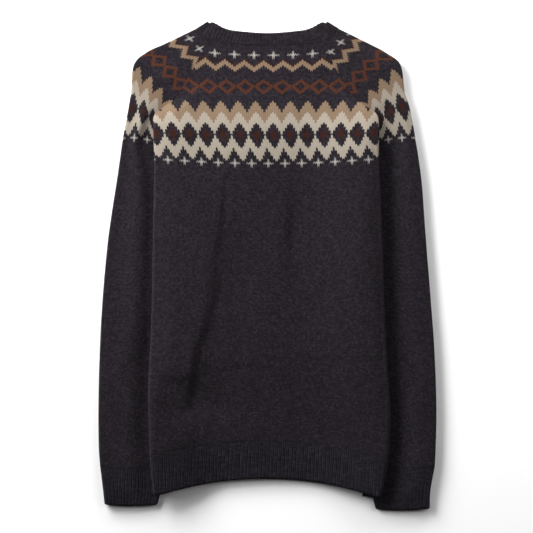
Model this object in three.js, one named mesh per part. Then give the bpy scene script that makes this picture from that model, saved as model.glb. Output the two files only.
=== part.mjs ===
// A fair isle jumper with raglan sleeves, laid out back upwards on a flat surface.
// The sides of its body are turned under, over sleeves that lie straight down beside it.
// Millimetres. +Z is up, +Y points to the neck and +X to the viewer's right from above.
// The origin is on the surface, under the middle of the outline.
import * as THREE from "three";

// Cloth and layers
const cloth = 3; // thickness of the knitted wall
const layerGap = 0.6; // air between two layers that lie on each other
const seamGap = 0.3; // between two pieces at a seam
const layer = cloth + layerGap; // from the middle of one layer to the next
const lowerLevel = cloth / 2; // middle of the layer that rests on the surface
const upperLevel = lowerLevel + layer;
const foldRadius = layer / 2; // of a sleeve's or the neckband's folded edge, at the cloth's middle
const foldReach = foldRadius + cloth / 2; // from the start of that fold to its outer face
const sideRise = 4 * layer; // what the body's turned-under side and the sleeve lift its top by
const riseRun = 36; // how far the top takes to climb from its middle onto the side
const nesting = 10; // how much nearer the edge a lower layer climbs than the one above it
const halfTurn = Math.PI;

// The least that keeps neighbouring points apart where nothing is turned under
const leastTurn = 0.02; // radians
const leastRadius = 1;
const leastColumn = 0.02;

// Ribs
const ribHeight = 1.2; // how far a rib stands above the furrow beside it
const columnsPerRib = 2;
const neckRibs = 40; // across the back of the neckband
const hemRibs = 61; // across the visible back hem
const cuffRibs = 14; // across the upper side of a cuff

// How finely each piece is divided
const bodyColumns = 24; // across the visible top of the back
const frontColumns = 22;
const edgeColumns = 3; // round the body's turned edge
const tuckColumns = 2; // across the part turned under
const sleeveColumns = 9; // across each half of a sleeve
const cuffLowerColumns = 9; // across the plain lower side of a cuff
const foldColumns = 3; // round a sleeve's folded edge
const neckFrontColumns = 22;
const rowSteps = 2; // between two rows of a table
const ribSteps = 2; // along a rib

// The raglan seams, from the neck to where they go out of sight under the body's turned
// edge. Each table: x at equal steps down from raglanTop to raglanEnd.
const raglanTop = 336;
const raglanEnd = 207;
const leftRaglan = [-87.5, -101, -113, -125.5, -138, -151.5, -168].map((x) => ({ x }));
const rightRaglan = [87.5, 94, 104, 117, 132, 147, 165.5].map((x) => ({ x }));

// A row across the body: y on the middle line, the left and right edge as they lie, then how
// much cloth is turned under, how far the sleeve reaches under the body, and how much of the
// side's full rise is there. The front lies under the back, inset from its edge, and folded
// says how much of the front's own turned-under layer is there.
const bodyRow = ([middle, left, right, tuck, under, rise, inset, folded]) => ({
  middle,
  left,
  right,
  tuck,
  under,
  rise,
  inset,
  folded,
});

// The back, from neck to ribs. Above raglanEnd its edges are the seams. The columns:
// middle, left, right, tuck, under, rise, inset, folded.
const backRows = [
  [330, [-87.5, 336], [87.5, 336], 0, 0, 0, 0, 0],
  [313, [-101, 314.5], [94, 314.5], 0, 0, 0, 0, 0],
  [293, [-113, 293], [104, 293], 0, 0, 0, 0, 0],
  [271, [-125.5, 271], [117, 271], 0, 0, 0, 0, 0],
  [250, [-138, 250], [132, 250], 0, 0, 0, 0, 0],
  [228, [-151.5, 228], [147, 228], 0, 0, 0.14, 0, 0],
  [207, [-168, 207], [165.5, 207], 0, 0, 0.62, 4, 0],
  [175, [-169.5, 175], [166, 175], 22, 22, 1, 20, 0],
  [134.5, [-169, 134.5], [167.5, 134.5], 48, 48, 1, 0, 0.5],
  [71.5, [-170.5, 71.5], [170, 71.5], 92, 92, 1, 0, 0.9],
  [10, [-171.5, 10], [172.5, 10], 84, 84, 1, 0, 1],
  [-50, [-172.5, -50], [174, -50], 76, 76, 1, 0, 1],
  [-114, [-174.5, -115], [177, -115], 67, 69, 1, 0, 1],
  [-160, [-177, -164], [180, -164], 61, 62, 1, 0, 1],
  [-212, [-177, -223], [183.5, -223], 54, 50, 1, 0, 1],
  [-260, [-175.5, -280], [182, -280], 46, 25, 1, 0, 0.6],
].map(bodyRow);

// The ribbed hem, from the last row of the back or front to the free edge.
const hemRows = [
  backRows[backRows.length - 1],
  bodyRow([-317.5, [-170, -341.5], [170, -344.5], 38, 13, 1, 0, 0.2]),
];
const frontHemShort = 3; // how much shorter the front's hem lies, out of sight

// The front's neck, cut deeper than the back's: its rows above the back's fifth.
const frontNeckRows = [
  { ...backRows[0], middle: 281.5, left: [-99, 318], right: [93, 318] },
  { ...backRows[2], middle: 270 },
  { ...backRows[3], middle: 257 },
];
const frontRows = [...frontNeckRows, ...backRows.slice(4)];
const frontHemRows = hemRows.map((row, i) => ({
  ...row,
  middle: row.middle + i * frontHemShort,
  left: [row.left[0], row.left[1] + i * frontHemShort],
  right: [row.right[0], row.right[1] + i * frontHemShort],
}));

// A sleeve, from neck to cuff, as courses of the knitting lie. Each row: its point on the
// outer fold, one halfway across and one on the inner edge, then how wide it lies uncovered
// from the outer fold, and how far the seam lifts its inner edge.
const leftSleeveRows = [
  { outer: [-107.5, 356], mid: [-98.5, 345], inner: [-88.5, 334.5], open: 28, lift: 0 },
  { outer: [-152, 334.5], mid: [-129.5, 314], inner: [-112.5, 295.5], open: 56, lift: 0 },
  { outer: [-180, 321.5], mid: [-153.5, 300], inner: [-126.5, 268.5], open: 76, lift: 0 },
  { outer: [-200, 302.5], mid: [-173, 283.5], inner: [-142, 245.5], open: 80, lift: 0 },
  { outer: [-204.5, 262], mid: [-183.5, 249], inner: [-153.5, 221.5], open: 62, lift: 2.5 },
  { outer: [-208.5, 236], mid: [-184.5, 232], inner: [-166.5, 208], open: 44, lift: 1 },
  { outer: [-216.5, 192], mid: [-189.5, 191.5], inner: [-154, 184], open: 34, lift: 0 },
  { outer: [-225.5, 130], mid: [-172, 128.5], inner: [-116.5, 127], open: 44, lift: 0 },
  { outer: [-234.5, 71.5], mid: [-156.5, 71.5], inner: [-79, 71.5], open: 54, lift: 0 },
  { outer: [-240.5, 25], mid: [-164, 25], inner: [-87.5, 25], open: 58, lift: 0 },
  { outer: [-247, -50], mid: [-172, -50], inner: [-96.5, -50], open: 62, lift: 0 },
  { outer: [-251, -125], mid: [-178.5, -125], inner: [-106, -125], open: 64, lift: 0 },
  { outer: [-253, -208], mid: [-190, -208], inner: [-126.5, -208], open: 66, lift: 0 },
  { outer: [-252.5, -268], mid: [-199, -268], inner: [-146, -268], open: 66, lift: 0 },
  { outer: [-250.5, -300], mid: [-204, -300], inner: [-157.5, -300], open: 66, lift: 0 },
];
const leftCuffRows = [
  { outer: [-249, -301], mid: [-203.5, -301], inner: [-158, -301], open: 66 },
  { outer: [-246, -336], mid: [-203, -336], inner: [-160, -336], open: 66 },
  { outer: [-244, -359.5], mid: [-204, -361.5], inner: [-165, -360], open: 79 },
];
const rightSleeveRows = [
  { outer: [107.5, 356], mid: [98.5, 345], inner: [88.5, 334.5], open: 28, lift: 0 },
  { outer: [153, 333.5], mid: [132, 314.5], inner: [106, 287.5], open: 62, lift: 0 },
  { outer: [179.5, 319], mid: [151, 298.5], inner: [119.5, 266.5], open: 78, lift: 0 },
  { outer: [199.5, 301.5], mid: [167.5, 280], inner: [138, 244], open: 82, lift: 0 },
  { outer: [205.5, 262], mid: [177, 250], inner: [151, 226], open: 62, lift: 2.5 },
  { outer: [212.5, 240], mid: [184.5, 233], inner: [164, 209.5], open: 46, lift: 1 },
  { outer: [221.5, 192], mid: [191, 191.5], inner: [149.5, 184], open: 38, lift: 0 },
  { outer: [230.5, 130], mid: [173, 128.5], inner: [116, 127], open: 46, lift: 0 },
  { outer: [235, 71.5], mid: [157, 71.5], inner: [78.5, 71.5], open: 54, lift: 0 },
  { outer: [238.5, 25], mid: [163.5, 25], inner: [88.5, 25], open: 56, lift: 0 },
  { outer: [244.5, -50], mid: [171.5, -50], inner: [98, -50], open: 58, lift: 0 },
  { outer: [250, -125], mid: [179.5, -125], inner: [108.5, -125], open: 60, lift: 0 },
  { outer: [253, -208], mid: [193, -208], inner: [133, -208], open: 60, lift: 0 },
  { outer: [252, -268], mid: [204.5, -268], inner: [157, -268], open: 60, lift: 0 },
  { outer: [250.5, -300], mid: [205.5, -300], inner: [160, -300], open: 60, lift: 0 },
];
const rightCuffRows = [
  { outer: [249, -301], mid: [205, -301], inner: [160.5, -301], open: 60 },
  { outer: [244, -336], mid: [200.5, -337], inner: [157, -337], open: 60 },
  { outer: [243, -365.5], mid: [203, -368], inner: [162, -366.5], open: 79 },
];

// The neckband, from its fold at the left shoulder to the middle: the seam and the free edge,
// on the back and on the front. The right half is its mirror image.
const neckBackPoints = [
  { seam: [-106.5, 357.5], edge: [-88, 368.5] },
  { seam: [-88, 339.5], edge: [-77, 363.5] },
  { seam: [-75.5, 335.5], edge: [-63.5, 356.5] },
  { seam: [-54.5, 332], edge: [-47, 353] },
  { seam: [0, 330.5], edge: [0, 349.5] },
];
const neckFrontPoints = [
  { seam: [-106.5, 357.5], edge: [-88, 368.5] },
  { seam: [-92, 323.5], edge: [-71, 332] },
  { seam: [-63.5, 295], edge: [-47, 313] },
  { seam: [0, 283.5], edge: [0, 302] },
];

const sleevePuff = 4; // how high a sleeve's uncovered part stands above its flat part
const neckFoldRun = 20; // how far from its folded corners the neckband is drawn in for the fold
const neckCurvePower = 3; // how flat the neck's curve is in its middle
const rowCurvePower = 2; // how a course of the body curves between its middle and its edges

// A smooth step from 0 to 1, and a straight mix of two numbers.
const smooth = (t) => THREE.MathUtils.smoothstep(t, 0, 1);
const mix = THREE.MathUtils.lerp;

// A row halfway between those of a table, on a smooth curve through them.
// Numbers and points of a row are both read.
function rowAt(rows, place) {
  const at = Math.min(Math.floor(place), rows.length - 2);
  const t = place - at;
  const near = [-1, 0, 1, 2].map((k) => rows[THREE.MathUtils.clamp(at + k, 0, rows.length - 1)]);
  const curve = (a, b, c, d) => {
    const slopeB = at === 0 ? c - b : (c - a) / 2;
    const slopeC = at === rows.length - 2 ? c - b : (d - b) / 2;
    const t2 = t * t;
    const t3 = t2 * t;
    return (
      (2 * t3 - 3 * t2 + 1) * b +
      (t3 - 2 * t2 + t) * slopeB +
      (3 * t2 - 2 * t3) * c +
      (t3 - t2) * slopeC
    );
  };
  const row = {};
  for (const key of Object.keys(rows[0])) {
    const values = near.map((r) => r[key]);
    row[key] = Array.isArray(values[0])
      ? [curve(...values.map((p) => p[0])), curve(...values.map((p) => p[1]))]
      : curve(...values);
  }
  return row;
}

// Every row of a table, with steps between them.
function spread(rows, steps) {
  const count = (rows.length - 1) * steps;
  return Array.from({ length: count + 1 }, (_, i) => rowAt(rows, i / steps));
}

// The x of a raglan seam at a height above its hidden end.
function raglanX(table, y) {
  const place = ((raglanTop - y) / (raglanTop - raglanEnd)) * (table.length - 1);
  return rowAt(table, THREE.MathUtils.clamp(place, 0, table.length - 1)).x;
}

// How far the side lifts the body's top, at a distance inside its edge.
function riseAt(row, inside) {
  const climb = (reach) => 1 - smooth((inside - reach) / riseRun);
  return (sideRise / 2) * Math.max(row.rise, 0) * (climb(row.tuck) + climb(row.under));
}

// How the body's edge turns under: the heights of the two layers, the radius between them,
// how far round it goes and how far its outer face reaches past the start of the turn.
function turnOf(row) {
  const top = upperLevel + riseAt(row, 0);
  const below = Math.min(lowerLevel + 2 * layer, top);
  const radius = (top - below) / 2;
  const tuck = Math.max(row.tuck, 0);
  const angle = radius > 0 ? Math.min(tuck / radius, halfTurn) : 0;
  const reach = (radius + cloth / 2) * Math.sin(Math.min(angle, halfTurn / 2));
  return { top, below, radius, angle, reach, run: tuck - angle * radius };
}

// One section across the back or its hem: along the part turned under on the left, round the
// edge, over the top, round the right edge and under again. Each point has its middle place,
// the direction of its outer face, and where it lies across the top, from -1 to 1.
function backSection(row, topColumns, power) {
  const { top, below, radius, angle, reach, run } = turnOf(row);
  const side = (edge, sign) => {
    const centre = edge[0] - sign * reach;
    const out = [];
    for (let i = 1; i <= edgeColumns; i++) {
      const turn = Math.max((angle * i) / edgeColumns, leastTurn * i);
      const x = centre + sign * Math.max(radius, leastRadius) * Math.sin(turn);
      const z = top - radius * (1 - Math.cos(turn));
      out.push(sectionPoint(x, edge[1], z, sign * Math.sin(turn), Math.cos(turn), sign));
    }
    const last = out[edgeColumns - 1];
    for (let i = 1; i <= tuckColumns; i++) {
      const inside = Math.max((run * i) / tuckColumns, leastColumn * i);
      const drop = 2 * layer * (1 - underHere(row, inside + reach)) * Math.min(run, 1);
      const x = last.place.x - sign * inside;
      out.push(sectionPoint(x, edge[1], last.place.z - drop, last.face.x, last.face.z, sign));
    }
    return { out, centre };
  };
  const left = side(row.left, -1);
  const right = side(row.right, 1);
  const over = topPoints(row, left.centre, right.centre, topColumns, power, 0);
  return [...left.out.reverse(), ...over, ...right.out];
}

// The points over the top of the body, between two edges. nested shifts the climb outwards,
// which keeps a layer below clear of the one above on the slope.
function topPoints(row, from, to, columns, power, nested) {
  const start = row.left[0] + turnOf(row).reach;
  const end = row.right[0] - turnOf(row).reach;
  return Array.from({ length: columns + 1 }, (_, i) => {
    const across = (2 * i) / columns - 1;
    const x = mix(from, to, i / columns);
    const edgeY = across < 0 ? row.left[1] : row.right[1];
    const y = mix(row.middle, edgeY, Math.abs(across) ** power);
    const inside = Math.max(Math.min(x - start, end - x), 0);
    const point = sectionPoint(x, y, upperLevel + riseAt(row, inside + nested), 0, 1, across);
    point.inside = inside;
    return point;
  });
}

// Whether the sleeve still lies under the body, at a distance inside its edge.
function underHere(row, inside) {
  return 1 - smooth((inside - row.under) / riseRun);
}

function sectionPoint(x, y, z, faceX, faceZ, across) {
  return { place: new THREE.Vector3(x, y, z), face: new THREE.Vector3(faceX, 0, faceZ), across };
}

// A wall from a grid of such points: outer face, inner face and the edges between them.
// raise says how far the outer face stands out further, and depth how thick the wall is.
function wall(grid, { closed = false, raise = () => 0, depth = () => cloth } = {}) {
  const rows = grid.length;
  const columns = grid[0].length;
  const positions = [];
  for (const outer of [true, false]) {
    grid.forEach((line, i) =>
      line.forEach((point, j) => {
        const offset = outer ? cloth / 2 + raise(point, i, j) : cloth / 2 - depth(point, i, j);
        const p = point.place.clone().addScaledVector(point.face, offset);
        positions.push(p.x, p.y, p.z);
      }),
    );
  }
  const at = (i, j, outer) => (outer ? 0 : rows * columns) + i * columns + (j % columns);
  const faces = [];
  const quad = (a, b, c, d) => faces.push(a, b, c, a, c, d);
  const last = closed ? columns : columns - 1;
  for (let i = 0; i + 1 < rows; i++) {
    for (let j = 0; j < last; j++) {
      quad(at(i, j, true), at(i + 1, j, true), at(i + 1, j + 1, true), at(i, j + 1, true));
      quad(at(i, j, false), at(i, j + 1, false), at(i + 1, j + 1, false), at(i + 1, j, false));
    }
  }
  const end = rows - 1;
  for (let j = 0; j < last; j++) {
    quad(at(0, j, true), at(0, j + 1, true), at(0, j + 1, false), at(0, j, false));
    quad(at(end, j, true), at(end, j, false), at(end, j + 1, false), at(end, j + 1, true));
  }
  if (!closed) {
    for (let i = 0; i + 1 < rows; i++) {
      quad(at(i, 0, true), at(i, 0, false), at(i + 1, 0, false), at(i + 1, 0, true));
      quad(
        at(i, columns - 1, true),
        at(i + 1, columns - 1, true),
        at(i + 1, columns - 1, false),
        at(i, columns - 1, false),
      );
    }
  }
  const geometry = new THREE.BufferGeometry();
  geometry.setAttribute("position", new THREE.Float32BufferAttribute(positions, 3));
  geometry.setIndex(faces);
  geometry.computeVertexNormals();
  return geometry;
}

// Sets each row's ends on the raglan seams, and draws every end in by half a seam's gap.
function fitted(rows, first, last) {
  return rows.map((row, i) => {
    const shift = (i === 0 && first ? -1 : 0) + (i === rows.length - 1 && last ? 1 : 0);
    const step = (shift * seamGap) / 2;
    const end = ([x, y], table, sign) =>
      y > raglanEnd ? [raglanX(table, y) - (sign * seamGap) / 2, y + step] : [x, y + step];
    const left = end(row.left, leftRaglan, -1);
    const right = end(row.right, rightRaglan, 1);
    return { ...row, middle: row.middle + step, left, right };
  });
}

// The power of a row's curve, from the neck's, which is flat in its middle, to the others'.
function powerOf(i) {
  return mix(neckCurvePower, rowCurvePower, Math.min(i / rowSteps, 1));
}

// The back: neck seam to ribs, raglan seams and the sides turned under.
function backPanel() {
  const rows = fitted(spread(backRows, rowSteps), true, true);
  return wall(rows.map((row, i) => backSection(row, bodyColumns, powerOf(i))));
}

// The back's hem in rib, with its sides turned under.
function backHem() {
  const rows = fitted(spread(hemRows, ribSteps), true, false);
  const grid = rows.map((row) => backSection(row, hemRibs * columnsPerRib, rowCurvePower));
  const firstTop = edgeColumns + tuckColumns;
  const ribbed = (point, j) => Math.abs(point.across) < 1 && (j - firstTop) % columnsPerRib === 1;
  return wall(grid, { raise: (point, i, j) => (ribbed(point, j) ? ribHeight : 0) });
}

// The front and its hem, one layer below the back's points: a single wall in the middle, and
// twice as thick at the sides, where the front is turned under with the back.
function frontPanel(rows, steps, columns, first) {
  const grid = fitted(spread(rows, steps), true, true).map((row, i) => {
    const { reach } = turnOf(row);
    const inset = reach + Math.max(row.inset, 0);
    const power = first ? powerOf(i) : rowCurvePower;
    const points = topPoints(row, row.left[0] + inset, row.right[0] - inset, columns, power, nesting);
    for (const point of points) {
      point.place.z -= layer;
      const folded = THREE.MathUtils.clamp(row.folded, 0, 1);
      point.extra = layer * folded * (1 - smooth((point.inside - row.tuck) / riseRun + 1));
    }
    return points;
  });
  return wall(grid, { depth: (point) => cloth + point.extra });
}

// The points round a fold between an upper and a lower layer, from above to below.
function foldPoints(at, outward) {
  return Array.from({ length: foldColumns - 1 }, (_, i) => {
    const angle = halfTurn / 2 - (halfTurn * (i + 1)) / foldColumns;
    const reach = Math.cos(angle);
    const face = new THREE.Vector3(outward.x * reach, outward.y * reach, Math.sin(angle));
    const middle = new THREE.Vector3(at.x, at.y, lowerLevel + foldRadius);
    return { place: middle.addScaledVector(face, foldRadius), face };
  });
}

// One course of a sleeve or cuff: its upper half from the inner edge out, round the outer
// fold and back through its lower half. A closed one turns round its inner edge as well.
function sleeveSection(row, lower, upperColumns, lowerColumns, closed) {
  const outer = new THREE.Vector2(...row.outer);
  const mid = new THREE.Vector2(...row.mid);
  const outward = outer.clone().sub(mid).normalize();
  const foldAt = outer.clone().addScaledVector(outward, -foldReach);
  const width = outer.distanceTo(mid) + mid.distanceTo(new THREE.Vector2(...row.inner));
  const half = (middle, inner, columns, upper) => {
    const start = new THREE.Vector2(...inner);
    const inward = start.clone().sub(mid).normalize();
    start.addScaledVector(inward, closed ? -foldReach : -seamGap / 2);
    return Array.from({ length: columns + 1 }, (_, i) => {
      const t = i / columns;
      const x = throughThree(start.x, middle[0], foldAt.x, t);
      const y = throughThree(start.y, middle[1], foldAt.y, t);
      const bare = THREE.MathUtils.clamp(((1 - t) * width) / row.open, 0, 1);
      const puff = sleevePuff * Math.sin(halfTurn * bare) ** 2;
      const lift = (row.lift ?? 0) * (1 - smooth(2 * t));
      const z = upper ? upperLevel + puff + lift : lowerLevel;
      const point = sectionPoint(x, y, z, 0, upper ? 1 : -1, t);
      point.open = upper && bare < 1;
      return point;
    });
  };
  const upperHalf = half(row.mid, row.inner, upperColumns, true);
  const lowerHalf = half(lower.mid, lower.inner, lowerColumns, false).reverse();
  const points = [...upperHalf, ...foldPoints(foldAt, outward), ...lowerHalf];
  if (closed) {
    const inner = new THREE.Vector2(...row.inner);
    const inward = inner.clone().sub(mid).normalize();
    const at = inner.clone().addScaledVector(inward, -foldReach);
    points.push(...foldPoints(at, inward).reverse());
  }
  return points;
}

// A parabola through three values at 0, a half and 1.
function throughThree(a, b, c, t) {
  return a * (1 - t) * (1 - 2 * t) + 4 * b * t * (1 - t) + c * t * (2 * t - 1);
}

// A sleeve: its inner edges lie on the raglan seams of the back and front, as far as those
// show, and the front's seam starts lower at the neck.
function sleeve(rows, raglan) {
  const grid = spread(rows, rowSteps).map((row, i) => {
    const onSeam = ([x, y]) => (y > raglanEnd ? [raglanX(raglan, y), y] : [x, y]);
    const blend = Math.max(1 - i / rowSteps, 0);
    const inner = onSeam([row.inner[0], mix(row.inner[1], frontNeckRows[0].left[1], blend)]);
    const halfway = [(row.outer[0] + inner[0]) / 2, (row.outer[1] + inner[1]) / 2];
    const mid = [mix(row.mid[0], halfway[0], blend), mix(row.mid[1], halfway[1], blend)];
    const upper = { ...row, inner: onSeam(row.inner) };
    return sleeveSection(upper, { mid, inner }, sleeveColumns, sleeveColumns, false);
  });
  return rows[0].outer[0] < 0 ? turned(wall(grid)) : wall(grid);
}

// A ribbed cuff, closed all round.
function cuff(rows) {
  const columns = cuffRibs * columnsPerRib;
  const sections = spread(rows, ribSteps);
  const grid = sections.map((row) => sleeveSection(row, row, columns, cuffLowerColumns, true));
  const raise = (point, i, j) => (point.open && j % columnsPerRib === 1 ? ribHeight : 0);
  const made = wall(grid, { closed: true, raise });
  return rows[0].outer[0] < 0 ? turned(made) : made;
}

// The same geometry with its faces turned over, for a piece whose grid runs the other way.
function turned(geometry) {
  const index = geometry.getIndex();
  for (let i = 0; i < index.count; i += 3) {
    const second = index.getX(i + 1);
    index.setX(i + 1, index.getX(i + 2));
    index.setX(i + 2, second);
  }
  geometry.computeVertexNormals();
  return geometry;
}

// The neckband: a ring of rib whose back half lies on its front half, folded at the shoulders.
function neckband() {
  const mirrored = ({ seam, edge }) => ({ seam: [-seam[0], seam[1]], edge: [-edge[0], edge[1]] });
  const line = (points, columns) => {
    const whole = [...points, ...points.slice(0, -1).reverse().map(mirrored)];
    const last = whole.length - 1;
    return Array.from({ length: columns + 1 }, (_, i) => rowAt(whole, (last * i) / columns));
  };
  const back = line(neckBackPoints, neckRibs * columnsPerRib);
  const front = line(neckFrontPoints, neckFrontColumns).reverse();
  const between = ({ seam, edge }, v) =>
    new THREE.Vector2(...seam).lerp(new THREE.Vector2(...edge), v);
  const foldLine = between(back[0], 1).sub(between(back[0], 0)).normalize();
  const outward = (sign) => new THREE.Vector2(sign * foldLine.y, foldLine.x);
  const grid = Array.from({ length: ribSteps + 1 }, (_, k) => {
    const v = k / ribSteps;
    const corner = between(back[0], v);
    const flat = (level, face) => (row, i) => {
      const at = between(row, v);
      const near = Math.hypot(Math.abs(at.x) - Math.abs(corner.x), at.y - corner.y) / neckFoldRun;
      at.addScaledVector(outward(Math.sign(at.x)), -foldReach * Math.max(0, 1 - near));
      const point = sectionPoint(at.x, at.y, level, 0, face, 0);
      point.rib = face > 0 && i < back.length - 1 && i % columnsPerRib === 1;
      return point;
    };
    const turn = (row, sign) =>
      foldPoints(between(row, v).addScaledVector(outward(sign), -foldReach), outward(sign));
    return [
      ...back.map(flat(upperLevel, 1)),
      ...turn(back[back.length - 1], 1),
      ...front.map(flat(lowerLevel, -1)),
      ...turn(back[0], -1).reverse(),
    ];
  });
  return turned(wall(grid, { closed: true, raise: (point) => (point.rib ? ribHeight : 0) }));
}

// Charcoal wool throughout; the pattern's colours are knitted in and change no shape.
const wool = { roughness: 0.95, metalness: 0 };
const charcoal = "#2b272d";
const ribCharcoal = "#262229";

function piece(name, geometry, color) {
  const mesh = new THREE.Mesh(geometry, new THREE.MeshStandardMaterial({ color, ...wool }));
  mesh.name = name;
  return mesh;
}

const jumper = new THREE.Group();
jumper.add(
  piece("back", backPanel(), charcoal),
  piece("back_hem", backHem(), ribCharcoal),
  piece("front", frontPanel(frontRows, rowSteps, frontColumns, true), charcoal),
  piece("front_hem", frontPanel(frontHemRows, 1, frontColumns, false), ribCharcoal),
  piece("sleeve_left", sleeve(leftSleeveRows, leftRaglan), charcoal),
  piece("sleeve_right", sleeve(rightSleeveRows, rightRaglan), charcoal),
  piece("cuff_left", cuff(leftCuffRows), ribCharcoal),
  piece("cuff_right", cuff(rightCuffRows), ribCharcoal),
  piece("neckband", neckband(), ribCharcoal),
);
export default jumper;
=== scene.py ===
"""The looks of the fair isle jumper, laid out back upwards on a pale surface.

The cloth's form repeats the part's own tables, in millimetres, with finer walls and softer
creases. Every wall carries its place in the knitting as a UV map: u counts the wales and v
the courses, so the pattern is worked out stitch by stitch from a small chart.
"""

import math

import bpy
import numpy as np
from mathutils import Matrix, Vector


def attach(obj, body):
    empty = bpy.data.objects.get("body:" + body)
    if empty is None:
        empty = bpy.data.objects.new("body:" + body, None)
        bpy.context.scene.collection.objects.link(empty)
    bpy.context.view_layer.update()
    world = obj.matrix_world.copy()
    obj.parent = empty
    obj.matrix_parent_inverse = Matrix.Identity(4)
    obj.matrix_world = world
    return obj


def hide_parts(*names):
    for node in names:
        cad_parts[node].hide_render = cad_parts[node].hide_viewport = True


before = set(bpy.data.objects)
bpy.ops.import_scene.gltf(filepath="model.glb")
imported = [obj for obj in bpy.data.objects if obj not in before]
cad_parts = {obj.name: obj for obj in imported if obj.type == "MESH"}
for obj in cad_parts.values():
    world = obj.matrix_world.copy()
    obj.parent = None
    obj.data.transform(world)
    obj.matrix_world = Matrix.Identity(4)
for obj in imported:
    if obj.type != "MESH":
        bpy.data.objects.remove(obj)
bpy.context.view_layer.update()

MM = 0.001

# Cloth and layers, as in the part
CLOTH = 3
LAYER_GAP = 0.6
LAYER = CLOTH + LAYER_GAP
LOWER = CLOTH / 2
UPPER = LOWER + LAYER
FOLD_RADIUS = LAYER / 2
FOLD_REACH = FOLD_RADIUS + CLOTH / 2
SIDE_RISE = 4 * LAYER
RISE_RUN = 36
LEFT_RUN = 60  # the visible top climbs more gently than the layers under it
RIGHT_RUN = 110
RIGHT_EARLY = 0.9  # the share of the tucked width by which its right side climbs earlier
RIGHT_FILL = 0.45  # how much less filled out its right half is
MIDDLE_SHARE = 2 / 3  # of the body's width, over which its left form passes into its right
SQUARENESS = 0.7  # of the body's turned edge: 1 is round, and less is squarer
NESTING = 10
LEFT_CREST_POWER = 1.7  # above 1, it moves a sleeve's crest away from its folded edge
RIGHT_CREST_POWER = 0.8
NECK_FOLD_RUN = 10
LEAST_TURN = 0.02
LEAST_COLUMN = 0.02


def table(columns, *rows):
    """A table with named columns, as one array for each."""
    values = np.array(rows, float)
    return {name: values[:, i] for i, name in enumerate(columns.split())}


def part_of(rows, start):
    """A table's rows from one of them on."""
    return {name: values[start:] for name, values in rows.items()}


def joined(*tables):
    """Tables with the same columns, one below the other."""
    return {name: np.concatenate([t[name] for t in tables]) for name in tables[0]}


# The raglan seams: x at equal steps down from RAGLAN_TOP to RAGLAN_END
RAGLAN_TOP = 336
RAGLAN_END = 207
LEFT_RAGLAN = table("x", [-87.5], [-101], [-113], [-125.5], [-138], [-151.5], [-168])
RIGHT_RAGLAN = table("x", [87.5], [94], [104], [117], [132], [147], [165.5])
# The back's own edges, which lie over the sleeves near the underarms
LEFT_BACK_EDGE = table("x", [-87.5], [-101], [-113], [-125.5], [-138.5], [-167.5], [-170.5])
RIGHT_BACK_EDGE = table("x", [87.5], [94], [104], [117], [132.5], [162.5], [167])

# The back, from neck to ribs. Each row has its middle, its two sides, how far they are turned under and how
# wide the layers under them are. Then the share of the full rise over those layers, how much
# narrower the front is, and the share of the front's own layer that is turned with it.
BODY_ROW = "middle left_x left_y right_x right_y tuck under rise inset folded"
BACK_ROWS = table(
    BODY_ROW,
    [330, -87.5, 336, 87.5, 336, 0, 0, 0, 0, 0],
    [313, -101, 314.5, 94, 314.5, 0, 0, 0, 0, 0],
    [293, -113, 293, 104, 293, 0, 0, 0, 0, 0],
    [271, -125.5, 271, 117, 271, 0, 0, 0, 0, 0],
    [250, -138.5, 250, 132.5, 250, 0, 0, 0.16, 0, 0],
    [228, -167.5, 228, 162.5, 228, 5, 5, 0.6, 0, 0],
    [207, -170.5, 207, 167, 207, 12, 12, 0.9, 4, 0],
    [175, -169.5, 175, 166, 175, 22, 22, 1, 20, 0],
    [134.5, -169, 134.5, 167.5, 134.5, 48, 48, 1, 0, 0.5],
    [71.5, -170.5, 71.5, 170, 71.5, 92, 92, 1, 0, 0.9],
    [10, -171.5, 10, 172.5, 10, 84, 84, 1, 0, 1],
    [-50, -172.5, -50, 174, -50, 76, 76, 1, 0, 1],
    [-114, -174.5, -115, 177, -115, 67, 69, 1, 0, 1],
    [-160, -177, -164, 180, -164, 61, 62, 1, 0, 1],
    [-212, -177, -223, 183.5, -223, 54, 50, 1, 0, 1],
    [-260, -175.5, -280, 182, -280, 46, 25, 1, 0, 0.6],
)
HEM_END = table(
    BODY_ROW,
    [-317.5, -170, -341.5, 170, -344.5, 38, 13, 1, 0, 0.2],
)
HEM_ROWS = joined(part_of(BACK_ROWS, -1), HEM_END)
FRONT_NECK = table(
    BODY_ROW,
    [281.5, -99, 318, 93, 318, 0, 0, 0, 0, 0],
    [270, -113, 293, 104, 293, 0, 0, 0, 0, 0],
    [257, -125.5, 271, 117, 271, 0, 0, 0, 0, 0],
)
FRONT_UNDERARM = table(
    BODY_ROW,
    [250, -138, 250, 132, 250, 0, 0, 0, 0, 0],
    [228, -151.5, 228, 147, 228, 0, 0, 0.14, 0, 0],
    [207, -168, 207, 165.5, 207, 0, 0, 0.62, 4, 0],
)
FRONT_ROWS = joined(FRONT_NECK, FRONT_UNDERARM, part_of(BACK_ROWS, 7))
FRONT_HEM_SHORT = 3

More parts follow.
